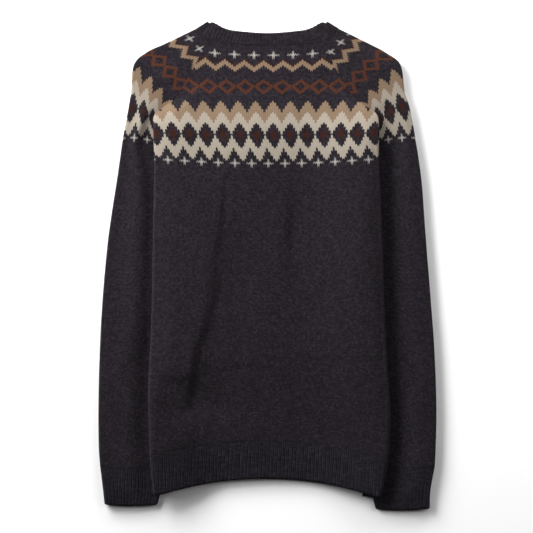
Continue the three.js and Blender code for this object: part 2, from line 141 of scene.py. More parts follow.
# A sleeve's courses from the neck down: points on the outer fold, halfway and on the inner
# edge, and the width left uncovered. Then the knitting: which course it is, which wale passes
# its halfway point and how wide a stitch is there. Last, how high the section's folded edge
# and its crest stand above its flat part.
SLEEVE_ROW = "outer_x outer_y mid_x mid_y inner_x inner_y open course wale stitch edge crest"
LEFT_SLEEVE = table(
    SLEEVE_ROW,
    [-107.5, 356, -98.5, 345, -88.5, 334.5, 28, -55.5, 6.3, 2.4, 0, 0],
    [-152, 334.5, -129.5, 314, -112.5, 295.5, 56, -39.9, 0.4, 2.95, 0.3, 1],
    [-180, 321.5, -153.5, 300, -126.5, 268.5, 76, -30, 0, 2.95, 0.5, 1.5],
    [-200, 302.5, -173, 283.5, -142, 245.5, 80, -21.5, 0, 2.9, 0.5, 2],
    [-204.5, 262, -183.5, 249, -153.5, 221.5, 62, -7.5, 0, 2.35, 0.5, 3],
    [-208.5, 236, -184.5, 232, -166.5, 208, 44, 0, 0, 2.45, 0.5, 4],
    [-216.5, 192, -189.5, 191.5, -154, 184, 36, 16, 0, 2.4, 0.5, 5],
    [-225.5, 130, -172, 128.5, -116.5, 127, 51, 42, -7, 2.9, 0.5, 5],
    [-234.5, 71.5, -156.5, 71.5, -79, 71.5, 61, 66, -12, 3.1, 0.5, 5.5],
    [-240.5, 25, -164, 25, -87.5, 25, 66, 85, -12, 3.1, 0.8, 5.5],
    [-247, -50, -172, -50, -96.5, -50, 71, 117, -12, 3.1, 2, 6],
    [-251, -125, -178.5, -125, -106, -125, 73, 149, -12, 3.1, 4.5, 5.5],
    [-253, -208, -190, -208, -126.5, -208, 73, 184, -12, 3.1, 6.5, 4],
    [-252.5, -268, -199, -268, -146, -268, 73.5, 209, -12, 3.1, 7, 3],
    [-250.5, -300, -204, -300, -157.5, -300, 73, 223, -12, 3.1, 6.5, 3],
)
RIGHT_SLEEVE = table(
    SLEEVE_ROW,
    [107.5, 356, 98.5, 345, 88.5, 334.5, 28, -55.5, 9.6, 2.4, 0, 0],
    [153, 333.5, 132, 314.5, 106, 287.5, 62, -38.7, 4.3, 2.9, 1.5, 2],
    [179.5, 319, 151, 298.5, 119.5, 266.5, 78, -30, 2.6, 3, 3, 3],
    [199.5, 301.5, 167.5, 280, 138, 244, 82, -21.5, 0, 2.9, 4, 3],
    [205.5, 262, 177, 250, 151, 226, 62, -7.5, 0, 2.4, 4.5, 3],
    [212.5, 240, 184.5, 233, 164, 209.5, 46, 0, 1, 2.6, 5, 3],
    [221.5, 192, 191, 191.5, 149.5, 184, 41, 16, 0, 2.5, 5, 3],
    [230.5, 130, 173, 128.5, 116, 127, 53, 42, -7, 2.9, 5, 3],
    [235, 71.5, 157, 71.5, 78.5, 71.5, 60.5, 66, -12, 3.1, 5, 3],
    [238.5, 25, 163.5, 25, 88.5, 25, 62.5, 85, -12, 3.1, 5, 3],
    [244.5, -50, 171.5, -50, 98, -50, 66, 117, -12, 3.1, 5, 3],
    [250, -125, 179.5, -125, 108.5, -125, 69, 149, -12, 3.1, 5, 3],
    [253, -208, 193, -208, 133, -208, 67, 184, -12, 3.1, 5, 3],
    [252, -268, 204.5, -268, 157, -268, 67, 209, -12, 3.1, 5, 3],
    [250.5, -300, 205.5, -300, 160, -300, 66, 223, -12, 3.1, 5, 3],
)
CUFF_ROW = "outer_x outer_y mid_x mid_y inner_x inner_y open edge crest"
LEFT_CUFF = table(
    CUFF_ROW,
    [-250.3, -300.3, -204, -300.3, -157.6, -300.3, 73, 6.5, 3],
    [-246, -336, -203, -336, -160, -336, 73, 5, 1.5],
    [-244, -356.4, -204, -358.3, -165, -357, 79, 2, 0.5],
)
RIGHT_CUFF = table(
    CUFF_ROW,
    [250.3, -300.3, 205.5, -300.3, 160.1, -300.3, 66, 5, 3],
    [244, -336, 200.5, -337, 157, -337, 66, 4, 2],
    [243, -362.6, 203, -365, 162, -363.6, 79, 2.5, 0.5],
)

# The neckband's left half: its seam and its free edge
NECK_ROW = "seam_x seam_y edge_x edge_y"
NECK_BACK = table(
    NECK_ROW,
    [-107.3, 356.4, -88, 368.5],
    [-98.3, 345.5, -82.5, 366.4],
    [-88.3, 335.6, -77, 363.5],
    [-75.5, 334.2, -63.5, 356.5],
    [-54.5, 331.6, -47, 353],
    [0, 330.3, 0, 349.5],
)
NECK_FRONT = table(
    NECK_ROW,
    [-107.3, 356.4, -88, 368.5],
    [-92, 323.5, -71, 332],
    [-63.5, 295, -47, 313],
    [0, 283.5, 0, 302],
)

# The neckband's upper corners are blunt: where they are, and how much is drawn in round them
HORN = (88, 368.5)
HORN_REACH = 2.5
HORN_LOSS = 0.09

# The knitting of the body. Courses are counted from the middle of the diamonds and lie at
# these heights, on the middle line and at the sides.
COURSES = table(
    "course middle sides",
    [260, -425, -425],
    [16, 153.4, 158.2],
    [0, 196.2, 198.2],
    [-21, 245.4, 246.8],
    [-30, 269.3, 270.5],
    [-41, 294.5, 303],
    [-50, 316.2, 329],
    [-60, 338, 352],
)
SIDES_AT = 140
MOST_CURVE = 1.3  # past the sides, the courses curve no further than this
# Where the middle wale lies at a height, and how wide a stitch is there
WALES = table(
    "y middle stitch",
    [-260, 2.3, 3.11],
    [158, 1.4, 3.11],
    [197, -3.8, 3.11],
    [245, -4.8, 3.26],
    [269, -5.5, 3.45],
    [301, -5.6, 3.62],
    [340, -5.6, 3.7],
)
MIDDLE_WALE = 4  # the middle wale lies halfway between two diamonds

# Ribs: how far apart and how high
RIB_PITCH = 5.6
RIB_HEIGHT = 0.55
BAND_RIB_HEIGHT = 0.6
HEM_RIBS = 61
CUFF_RIBS = 14
NECK_RIBS = 38
CUFF_COURSES = 25
NECK_COURSES = 8
RIB_ROUNDNESS = 1.2  # above 1, it narrows the ridges
RIB_GROWTH = 3  # a rib reaches its full height in its first third
RIB_COLUMNS = 6

# How finely each wall is divided
BODY_STEPS = 14
BODY_COLUMNS = 130
EDGE_COLUMNS = 14
TUCK_COLUMNS = 16
SLEEVE_STEPS = 14
SLEEVE_ACROSS = 44
FOLD_COLUMNS = 8
RIB_STEPS = 24
ROUNDING = 1.3  # how far a wall's free edges are rounded
SEAM_GROOVE = 0.2  # and its seams
SCALLOP = 0.5  # how far each rib reaches past the furrows at the neckband's free edge
SCALLOP_POWER = 12  # the higher it is, the closer that stays to the edge
BAND_DEPTH = 20
EDGE_PLACES = [0.25, 0.6, 1.1]  # where extra columns lie along a rounded edge
BODY_WIDTH = 300  # about how wide a wall is, which places its extra columns
SLEEVE_WIDTH = 110
ROW_LENGTH = 20  # about how far apart a table's rows are, which places extra rows
NECK_PLACES = 400
SHARP_FROM = 70  # degrees

# The body's middle lies a little loose, and its sides are crowned just inside their edges.
NECK_SEAM_Y = 330
HEM_SEAM_Y = -262
FADE_RUN = 60
FILL = table(
    "y height",
    [-345, 1.2],
    [-320, 2.2],
    [-262, 5.5],
    [-180, 9],
    [-100, 10.5],
    [100, 10.5],
    [175, 9],
    [228, 6],
    [270, 2.6],
    [300, 0.8],
    [330, 0],
)
# Its turned edges are rolled up a little: how far, and over what width that fades
LEFT_ROLL = table("y height", [-345, 0], [-262, 6.5], [-190, 9], [-120, 3.5], [-50, 0])
RIGHT_ROLL = table("y height", [-345, 0], [-262, 0.5], [-150, 2.5], [100, 4], [175, 3], [215, 0])
LEFT_ROLL_RUN = 68
RIGHT_ROLL_RUN = 95
EDGE_CROWN = 5
CROWN_FADE_RUN = 150
LEFT_CROWN_RUN = 19
RIGHT_CROWN_RUN = 9
FILL_CHANGE_FROM = -70  # where the left half's fill begins to pass into the right half's
FILL_CHANGE_RUN = 160
FILL_EDGE_RUN = 30
CREASE_EDGE_RUN = 20
# A slight wave in the cloth: its height and its four lengths, which never fall in step
BODY_WAVE = 0.3
WAVE_ACROSS = 19
WAVE_ALONG = 33
BEND_ACROSS = 47
BEND_ALONG = 41
BEND = 1.3

CREASE_START = 0.04  # how far into its growth a crease is at its ends
CREASE_GROWTH = 0.6  # below 1, it gets stronger sooner
# Soft creases. Each row is a line in plan, the half width of its step, how far the cloth on its left,
# seen along it, is raised or, below 0, lowered, and over how long that fades away again.
BODY_CREASES = [
    ([(-64, 118), (-68, 77), (-73, 40), (-78, 5)], 6, -1.8, 30),
    ([(-70, 70), (-78, 0), (-86, -80), (-98, -122)], 13, -4.4, 80),
    ([(-90, -80), (-107, -133), (-112, -175), (-117, -222)], 8, -5.2, 60),
    ([(34, 116), (32, 62), (29, 10)], 9, -4.8, 30),
    ([(31, 40), (33, 0), (36, -60)], 8, -1.2, 40),
    ([(44, -30), (50, -60), (46, -100), (20, -150)], 10, -0.8, 30),
    ([(150, -170), (110, -150), (62, -130)], 12, -0.8, 40),
    ([(-108, -163), (-140, -169), (-180, -158)], 11, -3, 110),
    ([(150, -196), (70, -200), (20, -190)], 10, 0.7, 25),
    ([(-130, -60), (-126, -130), (-140, -215)], 14, 0.7, 40),
    ([(104, 110), (100, 10), (106, -90)], 36, 3, 50),
    ([(-135, -170), (-135, -215), (-133, -262)], 35, -3.5, 60),
]

# And in the sleeves
LEFT_SLEEVE_CREASES = [
    ([(-214, 60), (-214, 0), (-216, -60)], 7, -0.5, 20),
    ([(-186, -96), (-206, -140), (-232, -190)], 12, -1.6, 40),
    ([(-186, -246), (-206, -250), (-226, -240)], 8, -0.8, 20),
]
RIGHT_SLEEVE_CREASES = [
    ([(214, 70), (216, 0), (214, -70)], 7, -0.6, 15),
    ([(196, -110), (214, -150), (236, -190)], 10, -0.8, 25),
    ([(190, -240), (206, -244), (226, -230)], 8, 0.6, 20),
]


def smooth(t):
    t = np.clip(t, 0, 1)
    return t * t * (3 - 2 * t)


def mix(a, b, t):
    return a + (b - a) * t


def rows_at(rows, places):
    """Rows between those of a table, on a smooth curve through them, as columns of numbers."""
    places = np.asarray(places, float)
    count = len(next(iter(rows.values())))
    at = np.clip(np.floor(places).astype(int), 0, count - 2)
    t = places - at
    out = {}
    for name, values in rows.items():
        a, b, c, d = (values[np.clip(at + k, 0, count - 1)] for k in (-1, 0, 1, 2))
        slope_b = np.where(at == 0, c - b, (c - a) / 2)
        slope_c = np.where(at == count - 2, c - b, (d - b) / 2)
        start = (2 * t**3 - 3 * t**2 + 1) * b + (t**3 - 2 * t**2 + t) * slope_b
        out[name] = start + (3 * t**2 - 2 * t**3) * c + (t**3 - t**2) * slope_c
    return out


def standing(rows):
    """The same rows as upright columns, to be spread across a grid."""
    return {name: values[:, None] for name, values in rows.items()}


def spaced(count, length):
    """Places from 0 to 1 across a wall, closer together at its two rounded edges."""
    near = np.array(EDGE_PLACES) / length
    inner = np.linspace(near[-1] + 1 / count, 1 - near[-1] - 1 / count, count - 1)
    return np.concatenate([[0], near, inner, 1 - near[::-1], [1]])


def raglan_x(seam, y):
    """Where a raglan seam lies at a height."""
    steps = len(seam["x"]) - 1
    place = (RAGLAN_TOP - y) / (RAGLAN_TOP - RAGLAN_END) * steps
    return rows_at(seam, np.clip(place, 0, steps))["x"]


def rise_at(row, inside, run=RISE_RUN):
    """How far the turned layers lift the body, at a distance inside its edge."""

    def climb(reach):
        return 1 - smooth((inside - reach) / run)

    rise = SIDE_RISE / 2 * np.maximum(row["rise"], 0)
    return rise * (climb(row["tuck"]) + climb(row["under"]))


def turn_of(row):
    """The turn at a side: its top, radius and angle, its reach, and the cloth left after it."""
    top = UPPER + rise_at(row, 0)
    below = np.minimum(LOWER + 2 * LAYER, top)
    radius = (top - below) / 2
    tuck = np.maximum(row["tuck"], 0)
    angle = np.minimum(tuck / np.maximum(radius, 1e-6), math.pi) * (radius > 0)
    reach = (radius + CLOTH / 2) * np.sin(np.minimum(angle, math.pi / 2))
    return top, radius, angle, reach, tuck - angle * radius


def knitting(x, y):
    """The wale and the course at a place on the body."""
    order = np.argsort(COURSES["middle"])
    middle = np.interp(y, COURSES["middle"][order], COURSES["course"][order])
    sides = np.interp(y, COURSES["sides"][order], COURSES["course"][order])
    course = mix(middle, sides, np.minimum((x / SIDES_AT) ** 2, MOST_CURVE))
    stitch = np.interp(y, WALES["y"], WALES["stitch"])
    wale = (x - np.interp(y, WALES["y"], WALES["middle"])) / stitch + MIDDLE_WALE
    return wale, course, stitch


def beside(points, x, y):
    """How far to the left of a line through points a place lies, seen along the line, and
    the share of the way along it."""
    best = np.full(np.broadcast(x, y).shape, 1e9)
    along = np.zeros_like(best)
    pairs = list(zip(points[:-1], points[1:], strict=True))
    for i, ((ax, ay), (bx, by)) in enumerate(pairs):
        dx, dy = bx - ax, by - ay
        t = np.clip(((x - ax) * dx + (y - ay) * dy) / (dx * dx + dy * dy), 0, 1)
        gap = np.hypot(x - ax - t * dx, y - ay - t * dy)
        side = np.sign((y - ay) * dx - (x - ax) * dy)
        nearer = gap < np.abs(best)
        best = np.where(nearer, gap * side, best)
        along = np.where(nearer, (i + t) / len(pairs), along)
    return best, along


def creased(creases, x, y):
    """How far soft creases lift the cloth at a place in plan."""
    lift = 0
    for points, width, height, fade in creases:
        across, along = beside(points, x, y)
        step = smooth((across / width + 1) / 2) * np.exp(-np.maximum(across - width, 0) / fade)
        ends = np.sin(math.pi * mix(CREASE_START, 1 - CREASE_START, along)) ** CREASE_GROWTH
        lift = lift + height * step * ends
    return lift


def body_top(row, start_x, end_x, places, power, nested, climb_run):
    """The points over the top of the body, for every row, at places from 0 to 1 across."""
    reach = turn_of(row)[3]
    from_x, to_x = row["left_x"] + reach, row["right_x"] - reach
    across = 2 * places[None, :] - 1
    x = mix(start_x, end_x, places[None, :])
    edge_y = np.where(across < 0, row["left_y"], row["right_y"])
    y = mix(row["middle"], edge_y, np.abs(across) ** power)
    inside = np.maximum(np.minimum(x - from_x, to_x - x), 0)
    z = UPPER + rise_at(row, inside + nested, climb_run)
    return x, y, z, inside


def grid_of(x, y, z, face_x, face_z, u, v):
    """A wall's middle layer: places, the way each faces, and its place in the knitting."""
    shape = x.shape
    full = [np.broadcast_to(a, shape) for a in (x, y, z, face_x, face_z, u, v)]
    x, y, z, face_x, face_z, u, v = full
    place = np.stack([x, y, z], -1)
    face = np.stack([face_x, np.zeros(shape), face_z], -1)
    return {"place": place, "face": face, "knit": np.stack([u, v], -1)}


def squared(turn):
    """A point on a squarish arc and the way its face looks: across and upwards for each."""
    shape = 2 / SQUARENESS - 1
    over, up = np.abs(np.sin(turn)), np.cos(turn)
    out_x = over**SQUARENESS
    out_z = np.sign(up) * np.abs(up) ** SQUARENESS
    face_x = out_x**shape
    face_z = np.sign(up) * np.abs(out_z) ** shape
    length = np.hypot(face_x, face_z)
    return out_x, out_z, face_x / length, face_z / length


def body_section(row, places, power, lift):
    """Every section across the back or its hem, from one turned-under edge to the other."""
    top, radius, angle, reach, run = turn_of(row)
    to_right = smooth((places[None, :] - (1 - MIDDLE_SHARE) / 2) / MIDDLE_SHARE)
    early = RIGHT_EARLY * np.maximum(row["tuck"], 0) * to_right
    top_run = mix(LEFT_RUN, RIGHT_RUN, to_right)
    x, y, z, inside = body_top(
        row, row["left_x"] + reach, row["right_x"] - reach, places, power, early, top_run
    )
    wale, course, stitch = knitting(x, y)
    z = z + lift(row, x, y, z, inside)
    parts = []
    for sign, edge in ((-1, 0), (1, -1)):
        edge_x = row["left_x"] if sign < 0 else row["right_x"]
        edge_y = row["left_y"] if sign < 0 else row["right_y"]
        centre = edge_x - sign * reach
        steps = np.arange(1, EDGE_COLUMNS + 1)[None, :]
        turn = np.maximum(angle * steps / EDGE_COLUMNS, LEAST_TURN * steps / EDGE_COLUMNS)
        out_x, out_z, face_x, face_z = squared(turn)
        round_x = centre + sign * np.maximum(radius, 1) * out_x
        round_z = top - radius * (1 - out_z) + (z[:, [edge]] - top)
        steps = np.arange(1, TUCK_COLUMNS + 1)[None, :]
        under = np.maximum(run * steps / TUCK_COLUMNS, LEAST_COLUMN * steps)
        still = 1 - smooth((under + reach - row["under"]) / RISE_RUN)
        drop = 2 * LAYER * (1 - still) * np.minimum(run, 1)
        last = turn[:, -1:]
        end_x, end_z = face_x[:, -1:], face_z[:, -1:]
        under_x = round_x[:, -1:] - sign * under
        under_z = round_z[:, -1:] - drop
        sx = np.concatenate([round_x, under_x], 1)
        sz = np.concatenate([round_z, under_z], 1)
        fx = np.concatenate([sign * face_x, sign * end_x + 0 * under], 1)
        fz = np.concatenate([face_z, end_z + 0 * under], 1)
        arc = np.concatenate([turn * radius, last * radius + under], 1)
        su = wale[:, [edge]] + sign * arc / stitch[:, [edge]]
        over = (2 * sx - row["left_x"] - row["right_x"]) / (row["right_x"] - row["left_x"])
        curve = mix(row["middle"], edge_y, np.minimum(np.abs(over), 1) ** power)
        # On the left the turned layer follows the body's curve, and on the right it is level
        sy = curve if sign < 0 else edge_y + 0 * sx
        sv = course[:, [edge]] + 0 * sx
        part = [sx, sy, sz, fx, fz, su, sv]
        parts.append([a[:, ::-1] for a in part] if sign < 0 else part)
    whole = [x, y, z, 0 * x, 1 + 0 * x, wale, course]
    columns = zip(parts[0], whole, parts[1], strict=True)
    return grid_of(*(np.concatenate(three, 1) for three in columns))


def fitted(rows, left, right):
    """Sets each row's ends on two seams or edges."""
    rows = {name: values.copy() for name, values in rows.items()}
    for side, seam in (("left", left), ("right", right)):
        y = rows[side + "_y"]
        on_seam = raglan_x(seam, y)
        rows[side + "_x"] = np.where(y > RAGLAN_END, on_seam, rows[side + "_x"])
    return rows


def row_places(rows, steps):
    """Places down a table, closer together at its two ends, where the edges are rounded."""
    count = len(next(iter(rows.values()))) - 1
    near = np.array(EDGE_PLACES) / ROW_LENGTH
    middle = np.linspace(near[-1] + 1 / steps, count - near[-1] - 1 / steps, count * steps - 1)
    return np.concatenate([[0], near, middle, count - near[::-1], [count]])


def rounded(values, edge):
    """How far the outer and inner faces draw in, at distances from a free edge."""
    near = np.clip(1 - values / edge, 0, 1)
    return edge * (1 - np.sqrt(1 - near**2))


def running(place, closed=False):
    """The length along each row of points, from its start, and on to its start if closed."""
    over = np.linalg.norm(np.diff(place, axis=1), axis=2)
    if closed:
        over = np.concatenate([over, np.linalg.norm(place[:, :1] - place[:, -1:], axis=2)], 1)
    return np.concatenate([np.zeros((place.shape[0], 1)), np.cumsum(over, 1)], 1)


def placed(name, data):
    """A new object in the scene."""
    made = bpy.data.objects.new(name, data)
    bpy.context.scene.collection.objects.link(made)
    return made


def edge_rounding(place, closed, free_end):
    """The drawing in of each point of a wall, from its distance to the wall's edges. The
    first row is a seam, and the last one is a free edge or another seam."""
    from_top = running(place.swapaxes(0, 1)).T
    last = ROUNDING if free_end else SEAM_GROOVE
    drawn = np.maximum(rounded(from_top, SEAM_GROOVE), rounded(from_top[-1:] - from_top, last))
    if not closed:
        from_side = running(place)
        side_gap = np.minimum(from_side, from_side[:, -1:] - from_side)
        drawn = np.maximum(drawn, rounded(side_gap, SEAM_GROOVE))
    return drawn


def shell(name, grid, *, closed=False, raised=0, depth=CLOTH, turned=False, free_end=False):
    """A wall as an object: outer face, inner face and rounded edges, with its UV map."""
    place, face, knit = grid["place"], grid["face"], grid["knit"]
    rows, columns = place.shape[:2]
    drawn = edge_rounding(place, closed, free_end)
    outer = place + face * (CLOTH / 2 + raised - drawn)[..., None]
    inner = place + face * (CLOTH / 2 - depth + drawn)[..., None]
    points = np.concatenate([outer.reshape(-1, 3), inner.reshape(-1, 3)]) * MM
    wide = knit.shape[1]
    uv = np.concatenate([knit.reshape(-1, 2)] * 2)
    last = columns if closed else columns - 1

    def corners(i, j, inside):
        i, j = np.broadcast_arrays(i, j)
        vertex = inside * rows * columns + i * columns + j % columns
        mapped = inside * rows * wide + i * wide + np.minimum(j, wide - 1)
        return vertex.ravel(), mapped.ravel()

    def quads(*four):
        made = [corners(*one) for one in four]
        return np.stack([v for v, _ in made], 1), np.stack([m for _, m in made], 1)

    i = np.arange(rows - 1)[:, None]
    j = np.arange(last)[None, :]
    faces = [
        quads((i, j, 0), (i + 1, j, 0), (i + 1, j + 1, 0), (i, j + 1, 0)),
        quads((i, j, 1), (i, j + 1, 1), (i + 1, j + 1, 1), (i + 1, j, 1)),
        quads((0, j, 0), (0, j + 1, 0), (0, j + 1, 1), (0, j, 1)),
        quads((rows - 1, j, 0), (rows - 1, j, 1), (rows - 1, j + 1, 1), (rows - 1, j + 1, 0)),
    ]
    if not closed:
        end = columns - 1
        faces.append(quads((i, 0, 0), (i, 0, 1), (i + 1, 0, 1), (i + 1, 0, 0)))
        faces.append(quads((i, end, 0), (i + 1, end, 0), (i + 1, end, 1), (i, end, 1)))
    vertices = np.concatenate([v for v, _ in faces])
    mapped = np.concatenate([m for _, m in faces])
    if turned:
        vertices, mapped = vertices[:, ::-1], mapped[:, ::-1]
    mesh = bpy.data.meshes.new(name)
    mesh.from_pydata(points.tolist(), [], vertices.tolist())
    layer = mesh.uv_layers.new(name="knitting")
    layer.data.foreach_set("uv", uv[mapped.ravel()].astype(np.float32).ravel())
    mesh.shade_smooth()
    mesh.set_sharp_from_angle(angle=math.radians(SHARP_FROM))
    return placed(name, mesh)


def filled(row, x, y, z, inside):
    """How much the layers below and the air between them fill out the back and its hem."""
    share = 1 - (z - UPPER) / SIDE_RISE
    half = mix(1, RIGHT_FILL, smooth((x - FILL_CHANGE_FROM) / FILL_CHANGE_RUN))
    fill = np.interp(y, FILL["y"], FILL["height"]) * share * half
    fill = fill * smooth(inside / FILL_EDGE_RUN)
    left = np.interp(y, LEFT_ROLL["y"], LEFT_ROLL["height"])
    left = left * (1 - smooth(inside / LEFT_ROLL_RUN))
    right = np.interp(y, RIGHT_ROLL["y"], RIGHT_ROLL["height"])
    right = right * (1 - smooth(inside / RIGHT_ROLL_RUN))
    return fill + np.where(x < 0, left, right)


def body_lift(row, x, y, z, inside):
    """The filled middle, the crowned sides and the creases, which all fade out at the seams."""
    open_y = smooth((NECK_SEAM_Y - y) / FADE_RUN) * smooth((y - HEM_SEAM_Y) / FADE_RUN)
    crown_run = np.where(x < 0, LEFT_CROWN_RUN, RIGHT_CROWN_RUN)
    crown = EDGE_CROWN * (1 - np.exp(-inside / crown_run)) * np.maximum(row["rise"], 0)
    crown = crown * smooth((y - HEM_SEAM_Y) / CROWN_FADE_RUN)
    wave = np.sin(x / WAVE_ACROSS + np.sin(y / BEND_ALONG))
    wave = wave * np.sin(y / WAVE_ALONG + BEND * np.sin(x / BEND_ACROSS))
    soft = (creased(BODY_CREASES, x, y) + BODY_WAVE * wave) * smooth(inside / CREASE_EDGE_RUN)
    return filled(row, x, y, z, inside) + crown + open_y * soft


def neck_power(places_down):
    """How each row curves: cubic at the neck, which is flatter in its middle, then square."""
    return mix(3, 2, np.minimum(places_down, 1))[:, None]


def back_panel():
    rows = rows_at(BACK_ROWS, row_places(BACK_ROWS, BODY_STEPS))
    rows = standing(fitted(rows, LEFT_BACK_EDGE, RIGHT_BACK_EDGE))
    places = spaced(BODY_COLUMNS, BODY_WIDTH)
    power = neck_power(row_places(BACK_ROWS, BODY_STEPS))
    return shell("jumper_back", body_section(rows, places, power, body_lift))


def ribbed(u, height=RIB_HEIGHT):
    """The height of one-by-one rib at a place counted in ribs: round ridges, narrow furrows."""
    return height * np.abs(np.cos(math.pi * u)) ** RIB_ROUNDNESS


def rib_growth(count):
    """The share of a rib's height in each row: it grows out of the plain knitting."""
    return smooth(np.linspace(0, RIB_GROWTH, count))[:, None]


def back_hem():
    rows = standing(rows_at(HEM_ROWS, np.linspace(0, 1, RIB_STEPS + 1)))
    places = np.linspace(0, 1, HEM_RIBS * RIB_COLUMNS + 1)
    grid = body_section(rows, places, 2, filled)
    grid["knit"][..., 0] = rib_count(grid["place"])
    raised = ribbed(grid["knit"][..., 0]) * rib_growth(RIB_STEPS + 1)
    return shell("jumper_back_hem", grid, raised=raised, free_end=True)


def rib_count(place):
    """Ribs counted along each row of a grid from its middle."""
    along = running(place)
    return (along - along[:, -1:] / 2) / RIB_PITCH


def front_panel(name, rows, steps, columns, ribs=False):
    """The front or, with ribs, its hem: a wall below the back, thicker where it is turned."""
    places_down = row_places(rows, steps)
    rows = standing(fitted(rows_at(rows, places_down), LEFT_RAGLAN, RIGHT_RAGLAN))
    reach = turn_of(rows)[3]
    inset = reach + np.maximum(rows["inset"], 0)
    power = 2 if ribs else neck_power(places_down)
    places = spaced(columns, BODY_WIDTH)
    x, y, z, inside = body_top(
        rows, rows["left_x"] + inset, rows["right_x"] - inset, places, power, NESTING, RISE_RUN
    )
    folded = np.clip(rows["folded"], 0, 1)
    extra = LAYER * folded * (1 - smooth((inside - rows["tuck"]) / RISE_RUN + 1))
    wale, course, _ = knitting(x, y)
    grid = grid_of(x, y, z - LAYER, 0, 1, wale, course)
    if ribs:
        grid["knit"][..., 0] = rib_count(grid["place"])
    return shell(name, grid, depth=CLOTH + extra, free_end=ribs)


def through_three(a, b, c, t):
    return a * (1 - t) * (1 - 2 * t) + 4 * b * t * (1 - t) + c * t * (2 * t - 1)


def fold_points(x, y, out_x, out_y, columns, rise=0):
    """Points round a fold, from the upper layer, which stands rise higher, to the lower one."""
    angle = math.pi / 2 - math.pi * np.arange(1, columns)[None, :] / columns
    reach = np.cos(angle)
    face = np.stack([out_x * reach, out_y * reach, np.sin(angle) + 0 * out_x], -1)
    tall = FOLD_RADIUS + rise / 2 + 0 * angle
    middle = np.stack([x + 0 * angle, y + 0 * angle, LOWER + tall + 0 * x], -1)
    radii = np.stack([0 * tall + FOLD_RADIUS, 0 * tall + FOLD_RADIUS, tall], -1)
    return middle + face * radii, face


def unit(x, y):
    length = np.hypot(x, y)
    return x / length, y / length


def sleeve_section(row, lower, places, closed, creases):
    """Every course of a sleeve or cuff: over the top from its inner edge out, and back below."""
    edge = np.maximum(row["edge"], 0)
    crest_power = LEFT_CREST_POWER if row["outer_x"][0, 0] < 0 else RIGHT_CREST_POWER
    out_x, out_y = unit(row["outer_x"] - row["mid_x"], row["outer_y"] - row["mid_y"])
    fold_x = row["outer_x"] - out_x * FOLD_REACH
    fold_y = row["outer_y"] - out_y * FOLD_REACH
    width = np.hypot(row["outer_x"] - row["mid_x"], row["outer_y"] - row["mid_y"])
    width = width + np.hypot(row["mid_x"] - row["inner_x"], row["mid_y"] - row["inner_y"])
    halves = []
    for side, upper in ((row, True), (lower, False)):
        t = places[None, :]
        in_x, in_y = unit(side["inner_x"] - row["mid_x"], side["inner_y"] - row["mid_y"])
        back = -FOLD_REACH if closed else 0
        start_x, start_y = side["inner_x"] + in_x * back, side["inner_y"] + in_y * back
        x = through_three(start_x, side["mid_x"], fold_x, t)
        y = through_three(start_y, side["mid_y"], fold_y, t)
        bare = np.clip((1 - t) * width / row["open"], 0, 1)
        puff = row["crest"] * np.sin(math.pi * bare**crest_power) ** 2
        puff = puff + edge * (1 - smooth(bare))
        soft = creased(creases, x, y) * np.sin(math.pi * t)
        z = UPPER + puff + soft if upper else LOWER + 0 * x
        place = np.stack([x, y, z + 0 * x], -1)
        face = np.zeros_like(place)
        face[..., 2] = 1 if upper else -1
        halves.append((place, face, bare < 1 if upper else bare < 0))
    upper, lower_half = halves
    fold_place, fold_face = fold_points(fold_x, fold_y, out_x, out_y, FOLD_COLUMNS, edge)
    parts = [
        (upper[0], upper[1], upper[2]),
        (fold_place, fold_face, np.zeros(fold_place.shape[:2], bool)),
        (lower_half[0][:, ::-1], lower_half[1][:, ::-1], lower_half[2]),
    ]
    if closed:
        in_x, in_y = unit(row["inner_x"] - row["mid_x"], row["inner_y"] - row["mid_y"])
        at_x, at_y = row["inner_x"] - in_x * FOLD_REACH, row["inner_y"] - in_y * FOLD_REACH
        place, face = fold_points(at_x, at_y, in_x, in_y, FOLD_COLUMNS)
        parts.append((place[:, ::-1], face[:, ::-1], np.zeros(place.shape[:2], bool)))
    place, face, bare = (np.concatenate(three, 1) for three in zip(*parts, strict=True))
    return place, face, running(place[..., :2], closed), bare


def sleeve(name, rows, seam, creases):
    places_down = row_places(rows, SLEEVE_STEPS)
    row = standing(rows_at(rows, places_down))
    blend = np.maximum(1 - places_down, 0)[:, None]

    def on_seam(x, y):
        return np.where(y > RAGLAN_END, raglan_x(seam, y), x)

    lower_y = mix(row["inner_y"], FRONT_ROWS["left_y"][0], blend)
    lower_x = on_seam(row["inner_x"], lower_y)
    lower = {
        "inner_x": lower_x,
        "inner_y": lower_y,
        "mid_x": mix(row["mid_x"], (row["outer_x"] + lower_x) / 2, blend),
        "mid_y": mix(row["mid_y"], (row["outer_y"] + lower_y) / 2, blend),
    }
    row["inner_x"] = on_seam(row["inner_x"], row["inner_y"])
    across = spaced(SLEEVE_ACROSS, SLEEVE_WIDTH)
    place, face, along, _ = sleeve_section(row, lower, across, False, creases)
    middle = np.searchsorted(across, 0.5)
    wale = (along - along[:, [middle]]) / row["stitch"] + row["wale"]
    knit = np.stack([wale, row["course"] + 0 * wale], -1)
    grid = {"place": place, "face": face, "knit": knit}
    return shell(name, grid, turned=rows["outer_x"][0] < 0)


